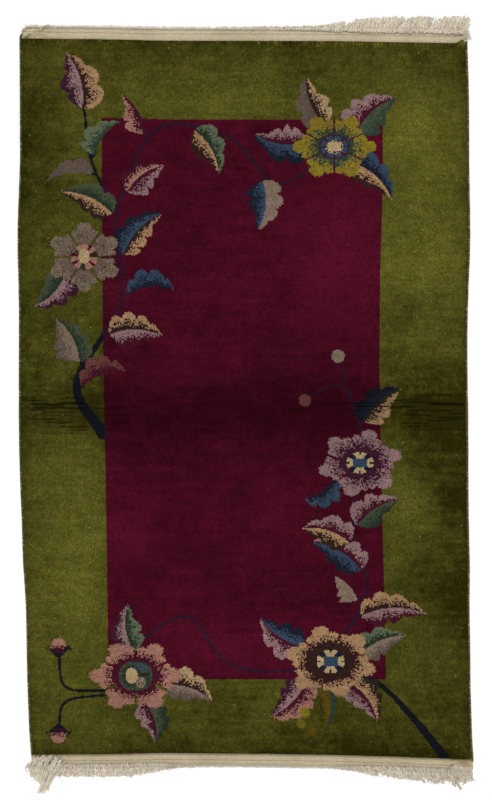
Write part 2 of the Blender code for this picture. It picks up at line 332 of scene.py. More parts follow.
def draw_branch(cartoon, branch):
    """Places nearer to the branch's curve than half its width there. It is darker on the border."""
    line = curved_through(branch.points)
    at = cartoon.near(line, max(branch.widths))
    gap = np.hypot(cartoon.across[at, None] - line[:, 0], cartoon.along[at, None] - line[:, 1])
    nearest = gap.argmin(1)
    width = np.interp(nearest / (len(line) - 1), np.linspace(0, 1, len(branch.widths)), branch.widths)
    at = at[gap.min(1) < width / 2 + 0.06]
    cartoon.start_motif()
    cartoon.lay(at[cartoon.in_field[at]], "dusk")
    cartoon.lay(at[~cartoon.in_field[at]], "navy")


def leaf_edge(share, half, seed):
    """Width of half a leaf, from 0 to 1, at a share of the way along it. The outline is a hump, the product
    of the way come and the way left, each over its amount where the leaf is widest and to the power of that
    amount. Lobes swell from it as half circles, and the notches between them go a cut deep."""
    rng = np.random.default_rng(seed)
    share = np.clip(share, 1e-4, 1 - 1e-4)
    hump = (share / half.widest) ** half.widest * ((1 - share) / (1 - half.widest)) ** (1 - half.widest)
    ends = np.linspace(0, 1, half.lobes + 1)
    ends[1:-1] += rng.uniform(-0.2, 0.2, half.lobes - 1) / half.lobes
    swell = rng.uniform(0.85, 1.12, half.lobes)
    lobe = np.clip(np.searchsorted(ends, share, side="right") - 1, 0, half.lobes - 1)
    side = 2 * (share - ends[lobe]) / (ends[lobe + 1] - ends[lobe]) - 1
    bulge = np.sqrt(1 - side ** 2)
    return hump ** 1.6 * (1 - half.cut + half.cut * bulge * swell[lobe] * 1.12)


def draw_leaf(cartoon, leaf, seed):
    """A midrib on a parabola from base to tip, and a lobed half on one or both sides of it. The yarn by the
    rib gives way to the yarn at the rim knot by knot, and single knots fray the rim."""
    base, bend, tip = (np.array(point) for point in (leaf.base, leaf.bend, leaf.tip))
    t = np.linspace(-0.05, 1, 90)[:, None]
    rib = base * (1 - t) ** 2 + 2 * bend * t * (1 - t) + tip * t ** 2
    way = np.gradient(rib, axis=0)
    way /= np.hypot(way[:, :1], way[:, 1:])
    at = cartoon.near(rib, 7)
    away = np.stack([cartoon.across[at, None] - rib[:, 0], cartoon.along[at, None] - rib[:, 1]])
    gap = np.hypot(*away)
    nearest = gap.argmin(1)
    picked = np.arange(len(at))
    reach = gap[picked, nearest]
    off_rib = way[nearest, 0] * away[1, picked, nearest] - way[nearest, 1] * away[0, picked, nearest]
    share = nearest / (len(rib) - 1)
    beyond = (nearest == 0) | (nearest == len(rib) - 1)
    frayed = reach + 0.34 * (cartoon.fray[at] - 0.5)
    cartoon.start_motif()
    for sign, half in ((1, leaf.left), (-1, leaf.right)):
        if half is None:
            continue
        edge = half.width * leaf_edge(share / half.ends, half, seed + sign)
        inside = (off_rib * sign >= 0) & (frayed < edge) & ~beyond & (share < half.ends)
        depth = reach[inside] / edge[inside]
        turn = np.clip((depth - 0.14) / 0.62, 0, 1)
        rim = cartoon.chance[at[inside]] < turn
        cartoon.lay(at[inside][~rim], half.near)
        cartoon.lay(at[inside][rim], half.rim)


def around(cartoon, at, middle, size):
    """Places round a middle, with an ellipse of that half size as radius 1: u, v, radius, degrees."""
    u = (cartoon.across[at] - middle[0]) / size[0]
    v = (cartoon.along[at] - middle[1]) / size[1]
    return u, v, np.hypot(u, v), np.degrees(np.arctan2(v, u))


def angle_from(angle, direction):
    """Degrees between an angle and a direction, from 0 to 180."""
    return np.abs((angle - direction + 180) % 360 - 180)


def draw_flower(cartoon, flower):
    """Six petals in scaled polar places. Each is a body, a round middle lobe and a shoulder towards each
    neighbour, and a thin line or gap parts it from the next. The dark ring breaks up knot by knot."""
    at = cartoon.near([flower.middle], 1.25 * np.array(flower.reach))
    u, v, radius, _ = around(cartoon, at, flower.middle, flower.reach)
    wander = 0.05 * (cartoon.fray[at] - 0.5)
    directions = (flower.first_petal + petal_step * np.arange(6)) % 360
    petal = radius + wander < 0.62
    for direction in directions:
        ahead = np.sort((directions - direction) % 360)[1] / 2
        behind = np.sort((direction - directions) % 360)[1] / 2
        for turn, out, size in ((0, 0.80, 0.185), (0.66 * ahead, 0.64, 0.165), (-0.66 * behind, 0.64, 0.165)):
            way = math.radians(direction + turn)
            gap = np.hypot(u - out * math.cos(way), v - out * math.sin(way))
            petal |= gap + wander < size
    directions = np.sort(directions)
    parted = np.zeros_like(petal)
    line_width = 0.020 if flower.line_yarn else 0.032
    for first, second in zip(directions, np.roll(directions, -1)):
        parting = math.radians(first + (second - first) % 360 / 2)
        along_line = u * math.cos(parting) + v * math.sin(parting)
        off_line = np.abs(v * math.cos(parting) - u * math.sin(parting))
        parted |= (along_line > flower.breaks) & (off_line + wander / 3 < line_width)
    cartoon.start_motif()
    cartoon.lay(at[petal & ~parted], flower.petal_yarn)
    dark = cartoon.chance[at] < np.clip((flower.ends - radius) / (flower.ends - flower.breaks), 0, 1) ** 1.2
    cartoon.lay(at[petal & dark & ~parted], flower.ring_yarn)
    if flower.line_yarn is not None:
        cartoon.lay(at[petal & parted], flower.line_yarn)


def draw_crossed_eye(cartoon, middle, size):
    """A blue middle, dark diagonals and four cream petals between them, each with a dark tick at its rim."""
    at = cartoon.near([middle], np.array(size) * 1.3)
    u, v, radius, angle = around(cartoon, at, middle, size)
    side = angle_from(angle % 90, 45)
    cartoon.lay(at[radius < 1.02], "ink")
    cartoon.lay(at[(radius < 1.0) & (radius > 0.40) & (side > 15)], "cream")
    cartoon.lay(at[(radius < 1.0) & (radius > 0.72) & (side > 40)], "bark")
    cartoon.lay(at[(np.abs(u) < 0.50) & (np.abs(v) < 0.38)], "blue")


def draw_ringed_eye(cartoon, middle, size):
    """A thin purple ring, blue inside it with dark ticks, and a cream middle with a dotted rim."""
    at = cartoon.near([middle], np.array(size) * 1.3)
    u, v, radius, angle = around(cartoon, at, middle, size)
    cartoon.lay(at[radius < 1.06], "purple")
    cartoon.lay(at[radius < 0.94], "blue")
    cartoon.lay(at[(radius < 0.94) & (angle_from(angle % 90, 0) < 7)], "navy")
    cartoon.lay(at[(radius < 0.94) & (angle_from(angle % 90, 45) < 6)], "purple")
    cartoon.lay(at[(radius < 0.62) & (cartoon.chance[at] < 0.5)], "sand")
    cartoon.lay(at[(np.abs(u) < 0.44) & (np.abs(v) < 0.40)], "cream")


def draw_crowned_eye(cartoon, middle, size):
    """A cream middle in a broken ring of pink, dark green and wine."""
    at = cartoon.near([middle], np.array(size) * 1.3)
    u, v, radius, angle = around(cartoon, at, middle, size)
    cartoon.lay(at[radius < 1.04], "pink")
    cartoon.lay(at[(radius < 1.06) & (angle_from(angle, 15) < 17)], "bark")
    cartoon.lay(at[(radius < 1.06) & (angle_from(angle, 155) < 24) & (cartoon.chance[at] < 0.6)], "green")
    cartoon.lay(at[(radius < 1.06) & (angle_from(angle, 262) < 15)], "green")
    cartoon.lay(at[(radius > 0.5) & (radius < 1.06) & (angle_from(angle % 105, 62) < 8)], "wine")
    cartoon.lay(at[np.hypot(u / 0.42, (v - 0.08) / 0.60) < 1], "cream")


def draw_pooled_eye(cartoon, middle, size):
    """A rounded pool of greens, a cream patch to one side of it, a dark bar and a grey-green patch to the
    other, and loose dark knots round the cream."""
    at = cartoon.near([middle], np.array(size) * 1.3)
    u, v, _, _ = around(cartoon, at, middle, size)
    box = (np.abs(u) ** 2.6 + np.abs(v) ** 2.6) ** (1 / 2.6)
    chance = cartoon.chance[at]
    cream = np.hypot((u + 0.26) / 0.38, (v - 0.02) / 0.56)
    cartoon.lay(at[box < 1], "sea")
    cartoon.lay(at[(box < 0.97) & (chance > 0.4)], "teal")
    cartoon.lay(at[(box < 0.9) & (u > -0.1) & (v > 0.4) & (chance > 0.3)], "blue")
    cartoon.lay(at[(box < 0.9) & (u > 0.6) & (v < 0.2) & (chance > 0.3)], "green")
    cartoon.lay(at[(cream < 1.5) & (chance < 0.35)], "bark")
    cartoon.lay(at[(box < 0.9) & (u > 0.3) & (np.abs(v - 0.10) < 0.10)], "bark")
    cartoon.lay(at[(np.hypot((u - 0.30) / 0.30, (v + 0.45) / 0.40) < 1) & (chance > 0.25)], "stone")
    cartoon.lay(at[cream < 1], "cream")


draw_eye = {"crossed": draw_crossed_eye, "ringed": draw_ringed_eye, "crowned": draw_crowned_eye,
            "pooled": draw_pooled_eye}


def draw_bud(cartoon, bud):
    """A dome of pink above a dark cup, which widens from the stem almost evenly, breaks up knot by knot
    towards the dome and ends in two sepals."""
    at = cartoon.near([bud.foot], 5.5)
    u = cartoon.across[at] - bud.foot[0]
    v = (cartoon.along[at] - bud.foot[1]) * bud.opening
    wander = 0.10 * (cartoon.fray[at] - 0.5)
    cartoon.start_motif()
    cartoon.lay(at[np.hypot(u / 2.1, (v - 3.0) / 2.4) + wander < 1], "pink")
    height = np.clip(v, 0, 2.2)
    wide = np.abs(u) < 0.35 + 1.15 * height ** 0.9 + 0.9 * (v >= 2.0)
    cartoon.lay(at[(v > 0) & (v < 2.3) & wide], "navy")
    cartoon.lay(at[(v >= 2.3) & (v < 3.4) & wide & (cartoon.chance[at] < 0.45)], "navy")
    heart = (v > 1.3) & (v < 3.4) & (np.abs(u) < 1.5)
    cartoon.lay(at[heart & (cartoon.chance[at] < 0.55)], "plum")


def draw_design(across, along):
    """The whole drawing at some places in metres: branches first, then leaves, discs, flowers and buds."""
    cartoon = Cartoon(across, along)
    for branch in branches:
        draw_branch(cartoon, branch)
    for number, leaf in enumerate(leaves):
        draw_leaf(cartoon, leaf, 10 * number + 5)
    for disc in discs:
        at = cartoon.near([disc.middle], disc.radius)
        gap = np.hypot(cartoon.across[at] - disc.middle[0], cartoon.along[at] - disc.middle[1])
        cartoon.start_motif()
        cartoon.lay(at[(gap < disc.radius) & (cartoon.chance[at] < 1.5 - 0.6 * gap / disc.radius)], disc.yarn)
    for flower in flowers:
        draw_flower(cartoon, flower)
        draw_eye[flower.eye](cartoon, flower.middle, flower.eye_size)
    for bud in buds:
        draw_bud(cartoon, bud)
    return cartoon


# --------------------------------------------------------------------------------------------------------
# Dyeing, wear and painted light. Wool takes its dyes unevenly, and the nap leans and so shines in wide
# patches, painted into the colour as sheen and shade. Folding has cracked the pile along its creases, painted
# dark as shade, and fibres of cotton lint cling to it.

# Soft patches of painted sheen and shade where the nap leans: middle across and along, half width, half
# length, and how much
Patch = namedtuple("Patch", "across along half_width half_length change")
sheen_patches = [
    Patch(0, 100, 90, 5, -0.18), Patch(0, -98, 90, 8, -0.24), Patch(30, -92, 32, 10, -0.10),
    Patch(0, -2, 90, 9, -0.34), Patch(-10, -12, 28, 7, -0.08), Patch(-60, 62, 11, 32, -0.22),
    Patch(-45, -45, 11, 30, 0.34), Patch(-60, -48, 12, 36, 0.11), Patch(47, 72, 14, 18, 0.46),
    Patch(50, 38, 14, 18, 0.34), Patch(57, -46, 9, 40, -0.28), Patch(44, -25, 6, 8, 0.32),
    Patch(-8, 82, 24, 6, 0.31), Patch(24, 40, 13, 20, 0.42), Patch(2, 46, 16, 8, 0.10),
    Patch(-5, -68, 24, 8, 0.23), Patch(-20, -60, 9, 14, 0.10), Patch(56, 92, 10, 6, -0.12),
    Patch(44, 12, 10, 5, -0.10), Patch(59.5, 98.8, 1.8, 1.2, 0.6), Patch(47, 28, 7, 3, -0.22),
    Patch(43, 24, 3, 4, -0.16), Patch(26, 45, 9, 8, 0.10), Patch(-30, -35, 7, 6, 0.12),
    Patch(50, -1, 14, 5, -0.13), Patch(47, -17, 8, 9, -0.09), Patch(-18, -26, 18, 8, 0.19),
]

# Cracks in the pile by the fold: distance along, start and end across, and depth as a share
Crack = namedtuple("Crack", "along start end depth")
cracks = [
    Crack(3.5, -58, -53, 0.3), Crack(2.1, -56, -54, 0.3), Crack(1.8, -49, -46, 0.4),
    Crack(1.5, -50, -44, 0.5), Crack(0.8, -59, -56, 0.5), Crack(0.0, -58, -44, 1.0),
    Crack(-0.5, -57, -50, 0.6), Crack(-1.1, -57, -44, 0.8), Crack(-1.1, -40, -33, 0.5),
    Crack(-1.7, -58, -55, 0.9), Crack(-2.2, -55, -47, 0.5), Crack(-3.0, -57, -48, 0.5),
    Crack(-5.1, -54, -48, 0.6), Crack(-6.2, -50, -44, 0.6), Crack(-7.0, -48, -44, 0.5),
    Crack(0.0, 20, 27, 0.5), Crack(-1.2, 12, 20, 0.4), Crack(-2.0, 14, 18, 0.4),
    Crack(-2.2, -36, -30, 0.3), Crack(-3.0, -37, -32, 0.3), Crack(-5.0, -37, -33, 0.3),
    Crack(-7.3, -38, -34, 0.3), Crack(-0.8, 37, 45, 0.8), Crack(-1.4, 39, 42, 0.6),
    Crack(0.6, 44, 52, 0.6), Crack(0.1, 50, 59, 0.8), Crack(-1.9, 45, 56, 0.6), Crack(-3.1, 43, 50, 0.5),
    Crack(1.6, 46, 50, 0.4), Crack(-4.4, 50, 58, 0.5), Crack(-6.0, 44, 49, 0.4), Crack(2.6, 52, 57, 0.3),
    Crack(4.4, -51, -44, 0.3), Crack(-4.1, -59, -52, 0.5), Crack(-8.1, -55, -47, 0.4),
    Crack(0.5, -50, -45, 0.6), Crack(1.1, 40, 47, 0.5), Crack(2.2, 47, 55, 0.4), Crack(-0.3, 51, 59, 0.7),
    Crack(-2.5, 40, 46, 0.5), Crack(-3.7, 53, 59, 0.6), Crack(-5.2, 43, 49, 0.5), Crack(3.6, 50, 57, 0.3),
    Crack(-7.0, 52, 58, 0.3), Crack(-2.6, 56, 60, 0.5), Crack(0.3, 27, 36, 0.5), Crack(-0.6, 29, 38, 0.6),
    Crack(-1.6, 25, 33, 0.4),
]
crack_width = 0.15       # centimetres from its middle to where it fades
crack_depth = 0.0042     # metres, where the depth share is 1

# Dark and light of each ground yarn: lit and shaded copies, mixed by the painted sheen of the nap
ground_lit_and_shaded = {"olive": ((40, 37, 3), (99, 97, 35)), "wine": ((44, 2, 15), (88, 14, 38))}
card_share = 0.80        # cut pile gives back this much of the light that wound yarn on the card does


def nap_sheen(across, along, edge):
    """Painted sheen of the leaning nap from 0 to 1: a middle value, soft patches of painted sheen and shade,
    and painted shade that makes the outer edges slightly darker.
    """
    shine = np.full_like(across, 0.37)
    for patch in sheen_patches:
        u = (across - patch.across) / patch.half_width
        v = (along - patch.along) / patch.half_length
        shine += patch.change * np.exp(-u * u - v * v)
    shine -= 0.12 * np.exp(-(edge / 1.2) ** 2)
    for size, change, seed in ((14, 0.09, 2), (7, 0.10, 3), (3.1, 0.09, 4), (1.3, 0.08, 8), (0.6, 0.07, 9)):
        shine += change * mottle(across, along, size, seed)
    shine += 0.08 * mottle(across / 9, along, 0.8, 10)
    return np.clip(shine, 0, 1.1)


def crack_share(across, along):
    """Depth of the cracks at places in centimetres: a bell across each, faded at both ends."""
    depth = np.zeros_like(across)
    for number, crack in enumerate(cracks):
        wander = 0.14 * mottle(across, np.full_like(across, crack.along), 2.6, 90 + number)
        ends = np.clip(np.minimum(across - crack.start + 1.2, crack.end + 1.2 - across) / 1.2, 0, 1)
        bell = np.exp(-((along - crack.along - wander) / crack_width) ** 2)
        depth = np.maximum(depth, crack.depth * ends * bell)
    return depth


def worn_streaks(across, along):
    """Where the first knots at the head are worn light: columns of knots, each a few to 25 mm long."""
    column = np.floor(across / 0.36).astype(int) % 400
    length = np.random.default_rng(12).uniform(-2.2, 2.6, 400)[column]
    below_head = 100 * np.interp(across / 100, *knot_lines["head"]) - along
    return below_head < length * (0.6 + 0.4 * mottle(across, 0 * along, 12, 13))


def dyed_and_shaded(cartoon, edge):
    """Linear colour of every knot: its yarn, painted sheen and shade from the nap's shine, uneven dyeing,
    painted shade in the cracks, lint and worn ends.
    """
    rng = np.random.default_rng(7)
    x, y = cartoon.across, cartoon.along
    shine = nap_sheen(x, y, edge)
    card = linear([yarn_card[name] for name in yarn_names])
    # Painted sheen and shade: each yarn is lighter or darker with the shine of the nap
    colour = card[cartoon.yarn] * (0.80 + 0.5 * shine)[:, None]
    # The ground yarns mix their painted dark and light copies by the same shine
    for name, (dark, light) in ground_lit_and_shaded.items():
        ground = cartoon.yarn == yarn_names.index(name)
        mix = shine[ground, None]
        colour[ground] = linear(dark) * (1 - mix) + linear(light) * mix
    colour *= card_share
    rough = np.where(cartoon.yarn == yarn_names.index("olive"), 0.21, 0.15)
    uneven = rough * rng.standard_normal(len(x)) + 0.08 * mottle(x, y, 0.9, 5)
    uneven += 0.06 * mottle(x / 14, y, 0.5, 6)
    colour *= np.exp(uneven)[:, None]
    colour *= np.exp(0.05 * rng.standard_normal((len(x), 3)))
    colour[worn_streaks(x, y)] *= (1.8, 1.7, 1.9)
    # Painted shade: the knots turn almost black in the cracks, where the parted pile is in shadow
    colour *= (1 - 0.97 * np.clip(1.2 * crack_share(x, y), 0, 1))[:, None]
    lint = (rng.random(len(x)) < 0.0004) & (cartoon.yarn == yarn_names.index("olive"))
    colour[lint] = linear((140, 130, 92)) * rng.uniform(0.2, 0.9, (lint.sum(), 1))
    return colour


# --------------------------------------------------------------------------------------------------------
# The pile. Each knot's wool stands about a centimetre above the cotton ground. It is clipped level, cut
# down a little along the outlines of the design, and rounded over at the rug's edges.

knot_pitch = 0.00296     # faces of the pile's surface
pile_top = 0.013         # top of the pile above the floor
back_top = 0.0030        # top of the cotton ground, where the pile starts
edge_steps = np.array([0, 0.0005, 0.0014, 0.0027, 0.0043])     # finer columns and rows at the rug's edges
edge_rounding = 0.0043
edge_drop = 0.0046
carving = 0.0009         # how far the outlines are cut down
fold_pitch = 0.0012      # rows by the fold, where the cracks are
fold_reach = 0.052


def nominal_places(keys, pitch, fine=None):
    """Places from the first key to the last, with one on every key: even spans about a pitch long, fine
    steps at both ends, and fine rows where `fine` gives a middle, a reach and a pitch of its own."""
    places = [keys[0] + edge_steps, keys[-1] - edge_steps]
    stops = [keys[0] + edge_steps[-1], *keys[1:-1], keys[-1] - edge_steps[-1]]
    if fine is not None:
        middle, reach, fine_pitch = fine
        stops += [middle - reach, middle, middle + reach]
    stops = sorted(stops)
    for low, high in zip(stops[:-1], stops[1:]):
        near_fold = fine is not None and abs((low + high) / 2 - middle) < reach
        count = max(round((high - low) / (fine_pitch if near_fold else pitch)), 1)
        places.append(np.linspace(low, high, count + 1))
    return np.unique(np.round(np.concatenate(places), 6))


def hat_weights(places, keys):
    """Share of each key in a place between two of them, in a straight line from one to the next."""
    return np.stack([np.interp(places, keys, row) for row in np.eye(len(keys))], axis=-1)


def rounded_corner(x, y, centre, radius, toward):
    """Moves the places in a corner's square into its quarter circle. In units of the radius from its centre,
    u becomes u times the square root of 1 less half of v squared, and v the same way."""
    u = (x - centre[0]) * toward[0] / radius
    v = (y - centre[1]) * toward[1] / radius
    inside = (u > 0) & (v > 0)
    u, v = np.clip(u, 0, 1), np.clip(v, 0, 1)
    new_x = centre[0] + toward[0] * radius * u * np.sqrt(1 - v * v / 2)
    new_y = centre[1] + toward[1] * radius * v * np.sqrt(1 - u * u / 2)
    return np.where(inside, new_x, x), np.where(inside, new_y, y)


def rug_grid(pitch, fine=None):
    """A grid over the knotted rug that follows its outline and the field's straight edges. Returns x and y,
    the distance to the outer edge, the nominal columns and rows, and the numbers of those at the field's
    edges."""
    column_keys = np.array([-0.613, -0.385, 0.371, 0.602])
    row_keys = np.array([-0.955, -0.749, 0.775, 0.988])
    columns = nominal_places(column_keys, pitch)
    rows = nominal_places(row_keys, pitch, fine)
    column_weights = hat_weights(columns, column_keys)
    row_weights = hat_weights(rows, row_keys)
    y = np.repeat(rows[:, None], len(columns), axis=1)
    for _ in range(3):
        lines = [np.interp(y, *inner_lines["left"]), np.interp(100 * y, *field_left.T) / 100,
                 np.interp(100 * y, *field_right.T) / 100, np.interp(y, *inner_lines["right"])]
        x = sum(line * column_weights[:, key] for key, line in enumerate(lines))
        ends = [np.interp(x, *knot_lines["foot"]), np.interp(100 * x, *field_foot.T) / 100,
                np.interp(100 * x, *field_head.T) / 100, np.interp(x, *knot_lines["head"])]
        y = sum(line * row_weights[:, key, None] for key, line in enumerate(ends))
    edge = np.minimum(np.minimum(x - lines[0], lines[3] - x), np.minimum(y - ends[0], ends[3] - y))
    for corner, radius in corner_radii.items():
        row = -1 if corner.startswith("head") else 0
        across_sign = -1 if corner.endswith("left") else 1
        column = 0 if across_sign < 0 else -1
        along_sign = 1 if row == -1 else -1
        centre = (x[row, column] - across_sign * radius, y[row, column] - along_sign * radius)
        x, y = rounded_corner(x, y, centre, radius, (across_sign, along_sign))
    field_edges = (np.searchsorted(columns, column_keys[1:3]), np.searchsorted(rows, row_keys[1:3]))
    return x, y, np.maximum(edge, 0), columns, rows, field_edges


def panel_lines(places, marks, spacing, creased=()):
    """Numbers of the rows or columns where panels of the other side meet: the marked ones, even steps
    between them, and ten steps across each crease. Steps close to a marked line are left out."""
    targets = [np.arange(places[0], places[-1], spacing)]
    targets += [crease.along + crease.half_width * np.linspace(-1, 1, 11) for crease in creased]
    found = np.searchsorted(places, np.concatenate(targets))
    clear = np.abs(places[found][:, None] - places[marks]).min(1) > 0.006
    return np.union1d(marks, found[clear])


def faces_of(corner_values):
    """Mean of the four corners of every face of a grid."""
    left, right = corner_values[:, :-1], corner_values[:, 1:]
    return (left[:-1] + left[1:] + right[:-1] + right[1:]) / 4


def make_mesh(name, points, faces, colours):
    """A mesh from an array of points and lists of faces by their corners, with a colour for every face.
    The flat map of its own lies on the plan of the rug."""
    mesh = bpy.data.meshes.new(name)
    sizes = np.concatenate([np.full(len(group), group.shape[1]) if isinstance(group, np.ndarray)
                            else np.array([len(face) for face in group]) for group in faces if len(group)])
    loops = np.concatenate([group.ravel() if isinstance(group, np.ndarray) else np.concatenate(group)
                            for group in faces if len(group)]).astype(np.int32)
    mesh.vertices.add(len(points))
    mesh.vertices.foreach_set("co", points.astype(np.float32).ravel())
    mesh.loops.add(len(loops))
    mesh.loops.foreach_set("vertex_index", loops)
    mesh.polygons.add(len(sizes))
    mesh.polygons.foreach_set("loop_start", (np.cumsum(sizes) - sizes).astype(np.int32))
    mesh.polygons.foreach_set("use_smooth", np.ones(len(sizes), dtype=bool))
    mesh.update(calc_edges=True)
    dye_and_shade = mesh.attributes.new("dye_and_shade", "FLOAT_COLOR", "FACE")
    opaque = np.column_stack([colours, np.ones(len(colours))])
    dye_and_shade.data.foreach_set("color", opaque.astype(np.float32).ravel())
    plan = mesh.uv_layers.new(name="OFBake")
    low, high = points[:, :2].min(0), points[:, :2].max(0)
    flat = (points[loops, :2] - low) / (high - low)
    plan.data.foreach_set("uv", (0.01 + 0.98 * flat).astype(np.float32).ravel())
    return mesh


def closed_block(name, top, under, included, colours, panel_rows, panel_columns, facing=1):
    """A closed block on part of a grid: its fine side, walls round it, and an other side of large panels.
    top and under hold the corners of the fine side and of the other, included says which faces it has, and
    facing is 1 where the fine side is on top. Panels meet at the given rows and columns, and a panel's side
    on the block's rim has every corner of the rim."""
    rows, columns = top.shape[:2]
    around_faces = np.pad(included, 1)
    touched = [around_faces[:-1, :-1], around_faces[:-1, 1:], around_faces[1:, :-1], around_faces[1:, 1:]]
    used = np.any(touched, axis=0)
    kept = used & ~np.all(touched, axis=0)
    kept[np.ix_(panel_rows, panel_columns)] |= used[np.ix_(panel_rows, panel_columns)]
    fine_at = np.cumsum(used).reshape(rows, columns) - 1
    under_at = np.cumsum(kept).reshape(rows, columns) - 1 + used.sum()
    points = np.concatenate([top[used], under[kept]])
    j, i = np.nonzero(included)
    quads = np.stack([fine_at[j, i], fine_at[j, i + 1], fine_at[j + 1, i + 1], fine_at[j + 1, i]], axis=-1)
    face_colours = [colours[j, i]]
    walls = []
    before, after = around_faces[1:-1, :-1], around_faces[1:-1, 1:]
    for wall_of, other, flip in ((after, before, False), (before, after, True)):
        j, i = np.nonzero(wall_of & ~other)
        ends = (under_at[j + 1, i], under_at[j, i], fine_at[j, i], fine_at[j + 1, i])
        walls.append(np.stack(ends[::-1] if flip else ends, axis=-1))
        face_colours.append(colours[j, i - 1 if flip else i])
    below, above = around_faces[:-1, 1:-1], around_faces[1:, 1:-1]
    for wall_of, other, flip in ((above, below, False), (below, above, True)):
        j, i = np.nonzero(wall_of & ~other)
        ends = (under_at[j, i], under_at[j, i + 1], fine_at[j, i + 1], fine_at[j, i])
        walls.append(np.stack(ends[::-1] if flip else ends, axis=-1))
        face_colours.append(colours[j - 1 if flip else j, i])
    panels = []
    for low, high in zip(panel_rows[:-1], panel_rows[1:]):
        for left, right in zip(panel_columns[:-1], panel_columns[1:]):
            if included[low, left]:
                across, along = np.arange(left, right), np.arange(low, high)
                j = np.concatenate([0 * across + low, along, 0 * across + high, along[::-1] + 1])
                i = np.concatenate([across, 0 * along + right, across[::-1] + 1, 0 * along + left])
                corner = kept[j, i]
                panels.append(under_at[j[corner], i[corner]][::-1])
                face_colours.append(colours[low:high, left:right].mean((0, 1))[None])
    groups = [quads, *walls, panels]
    if facing < 0:
        groups = [[face[::-1] for face in group] if isinstance(group, list) else group[:, ::-1]
                  for group in groups]
    return make_mesh(name, points, groups, np.concatenate(face_colours))


def fibre_material(name, roughness, gloss, tones, bump_strength, bump_depth):
    """A rough material that takes each face's own colour, with painted sheen and shade where a piece has
    them, and scales it by a tone between two limits. Returns the material, the place in the object's own
    frame, the node that sets the tone and the bump."""
    material = bpy.data.materials.new(name)
    material.use_nodes = True
    nodes, links = material.node_tree.nodes, material.node_tree.links
    shader = nodes["Principled BSDF"]
    shader.inputs["Roughness"].default_value = roughness
    shader.inputs["Specular IOR Level"].default_value = gloss
    place = nodes.new("ShaderNodeTexCoord")
    knot = nodes.new("ShaderNodeAttribute")
    knot.attribute_name = "dye_and_shade"
    spread = nodes.new("ShaderNodeMapRange")
    spread.inputs["To Min"].default_value = tones[0]
    spread.inputs["To Max"].default_value = tones[1]
    shade = nodes.new("ShaderNodeVectorMath")
    shade.operation = "SCALE"
    bump = nodes.new("ShaderNodeBump")
    bump.inputs["Strength"].default_value = bump_strength
    bump.inputs["Distance"].default_value = bump_depth
    links.new(knot.outputs["Color"], shade.inputs[0])
    links.new(spread.outputs["Result"], shade.inputs["Scale"])
    links.new(shade.outputs["Vector"], shader.inputs["Base Color"])
    links.new(bump.outputs["Normal"], shader.inputs["Normal"])
    return material, place.outputs["Object"], spread, bump


def wool_material():
    """Cut wool: the knot's colour with a finer grain, a rough face with a soft sheen, and tufts as bump."""
    material, place, spread, bump = fibre_material("cut_wool", 0.92, 0.02, (0.74, 1.24), 0.55, 0.0012)
    nodes, links = material.node_tree.nodes, material.node_tree.links
    shader = nodes["Principled BSDF"]
    shader.inputs["Sheen Weight"].default_value = 0.02
    shader.inputs["Sheen Roughness"].default_value = 0.55
    shader.inputs["Sheen Tint"].default_value = (1.0, 0.95, 0.85, 1)
    grain = nodes.new("ShaderNodeTexNoise")
    grain.inputs["Scale"].default_value = 900
    grain.inputs["Detail"].default_value = 3
    spread.inputs["From Min"].default_value = 0.25
    spread.inputs["From Max"].default_value = 0.75
    tufts = nodes.new("ShaderNodeTexVoronoi")
    tufts.inputs["Scale"].default_value = 330
    both = nodes.new("ShaderNodeMath")
    both.operation = "SUBTRACT"
    links.new(place, grain.inputs["Vector"])
    links.new(place, tufts.inputs["Vector"])
    links.new(grain.outputs["Fac"], spread.inputs["Value"])
    links.new(grain.outputs["Fac"], both.inputs[0])
    links.new(tufts.outputs["Distance"], both.inputs[1])
    links.new(both.outputs["Value"], bump.inputs["Height"])
    return material


def add_piece(name, mesh, material, slot, *nodes):
    """A finished piece in the scene: it rides on the rug's one body and stands for some CAD nodes."""
    mesh.materials.append(material)
    piece = bpy.data.objects.new(name, mesh)
    bpy.context.scene.collection.objects.link(piece)
    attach(piece, "root")
    if nodes:
        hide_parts(*nodes)
    return piece


grid_x, grid_y, edge_distance, column_places, row_places, (field_columns, field_rows) = rug_grid(
    knot_pitch, (creases[0].along, fold_reach, fold_pitch))
knots = draw_design(faces_of(grid_x), faces_of(grid_y))
knot_shape = (grid_x.shape[0] - 1, grid_x.shape[1] - 1)
knot_colours = dyed_and_shaded(knots, 100 * faces_of(edge_distance).ravel()).reshape(*knot_shape, 3)
knot_motifs = knots.motif.reshape(knot_shape)

padded_motifs = np.pad(knot_motifs, 1, mode="edge")
corner_motifs = np.stack([padded_motifs[:-1, :-1], padded_motifs[1:, :-1],
                          padded_motifs[:-1, 1:], padded_motifs[1:, 1:]])
outlined = corner_motifs.min(0) != corner_motifs.max(0)

rng = np.random.default_rng(11)
rounding = np.clip(1 - edge_distance / edge_rounding, 0, 1)
surface = pile_top + lift(grid_y) - edge_drop * (1 - np.sqrt(1 - rounding ** 2))
for size, height, seed in ((0.11, 0.0006, 1), (0.021, 0.0005, 2), (0.008, 0.0003, 14)):
    surface += height * mottle(grid_x, grid_y, size, seed)
surface += 0.00028 * rng.standard_normal(grid_x.shape)
surface -= carving * outlined
surface -= crack_depth * crack_share(100 * grid_x, 100 * grid_y)
jitter_x = np.clip(0.00022 * rng.standard_normal(grid_x.shape), -0.0005, 0.0005) * (edge_distance > 0)
jitter_y = np.clip(0.00022 * rng.standard_normal(grid_y.shape), -0.0004, 0.0004) * (edge_distance > 0)
ground = back_top + touching + lift(grid_y)
pile_surface = np.stack([grid_x + jitter_x, grid_y + jitter_y, surface], axis=-1)
pile_under = np.stack([grid_x + jitter_x, grid_y + jitter_y, ground], axis=-1)

